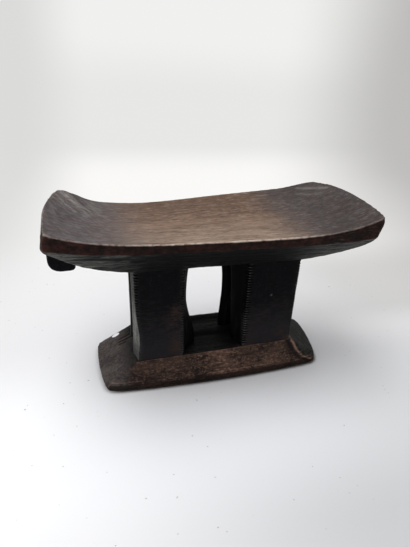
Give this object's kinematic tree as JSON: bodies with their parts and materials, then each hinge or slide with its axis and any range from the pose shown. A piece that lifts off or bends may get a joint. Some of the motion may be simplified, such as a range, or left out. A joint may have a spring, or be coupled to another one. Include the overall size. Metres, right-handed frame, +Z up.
{
  "type": "stool",
  "caption": "Low carved wooden stool with a dished rectangular seat that curls up to its ends, on four notched legs over a bevelled foot block.",
  "frame": {"origin": "on the floor, under the middle of the seat", "axes": "+X along the seat towards the end shown at the right of the picture, +Y from front to back, +Z up"},
  "size_m": [0.4634, 0.202, 0.2805],
  "materials": {
    "wood_seat": "worn smooth, pale top with darker grain, dark stained rim",
    "wood_dark": "near black stain, dull, worn along the edges",
    "wood_base": "mottled brown and black, rubbed through in places"
  },
  "bodies": {
    "root": {"seat": "wood_seat", "front_left_leg": "wood_dark", "front_right_leg": "wood_dark", "rear_left_leg": "wood_dark", "rear_right_leg": "wood_dark", "base": "wood_base", "left_lug": "wood_dark", "right_lug": "wood_dark"}
  },
  "joints": []
}
